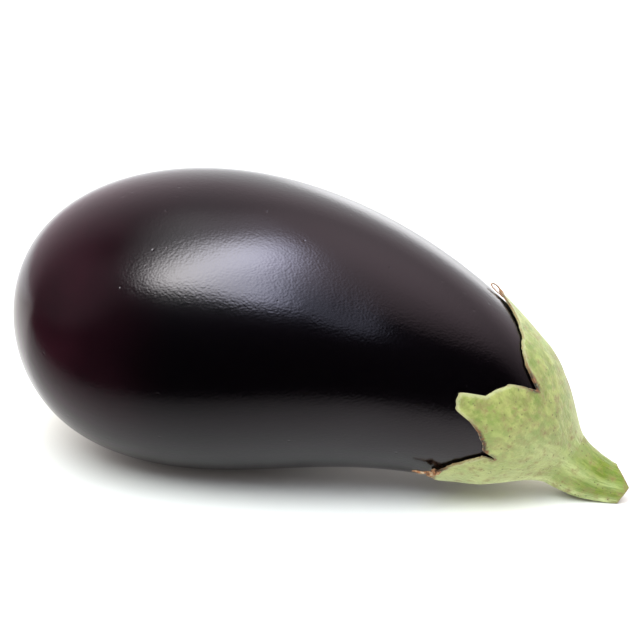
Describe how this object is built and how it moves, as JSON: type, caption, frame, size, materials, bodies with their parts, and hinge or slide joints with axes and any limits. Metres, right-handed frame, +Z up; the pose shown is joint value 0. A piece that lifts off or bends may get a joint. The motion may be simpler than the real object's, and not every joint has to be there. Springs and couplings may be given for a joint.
{
  "type": "eggplant",
  "caption": "Globe eggplant lying on its side as picked: glossy dark fruit leaning down to a narrow neck, a green lobed calyx and a short cut stem.",
  "frame": {"origin": "on the surface that the eggplant rests on, under the middle of its bounding box", "axes": "+X along the fruit from the blossom end towards the stem, +Z up from the resting surface, -Y the fruit's front side, where a calyx lobe with a blunt tip lies"},
  "size_m": [0.1968, 0.095, 0.0942],
  "materials": {
    "fruit_skin": "waxy near-black purple skin with a fine orange-peel grain, like a gloss coat",
    "calyx_skin": "matte mottled grey-green, leathery, with dry brown edges",
    "stem_skin": "matte fresh green with pale ribs and a dry cut end"
  },
  "bodies": {
    "root": {"fruit": "fruit_skin", "calyx": "calyx_skin", "stem": "stem_skin"}
  },
  "joints": []
}
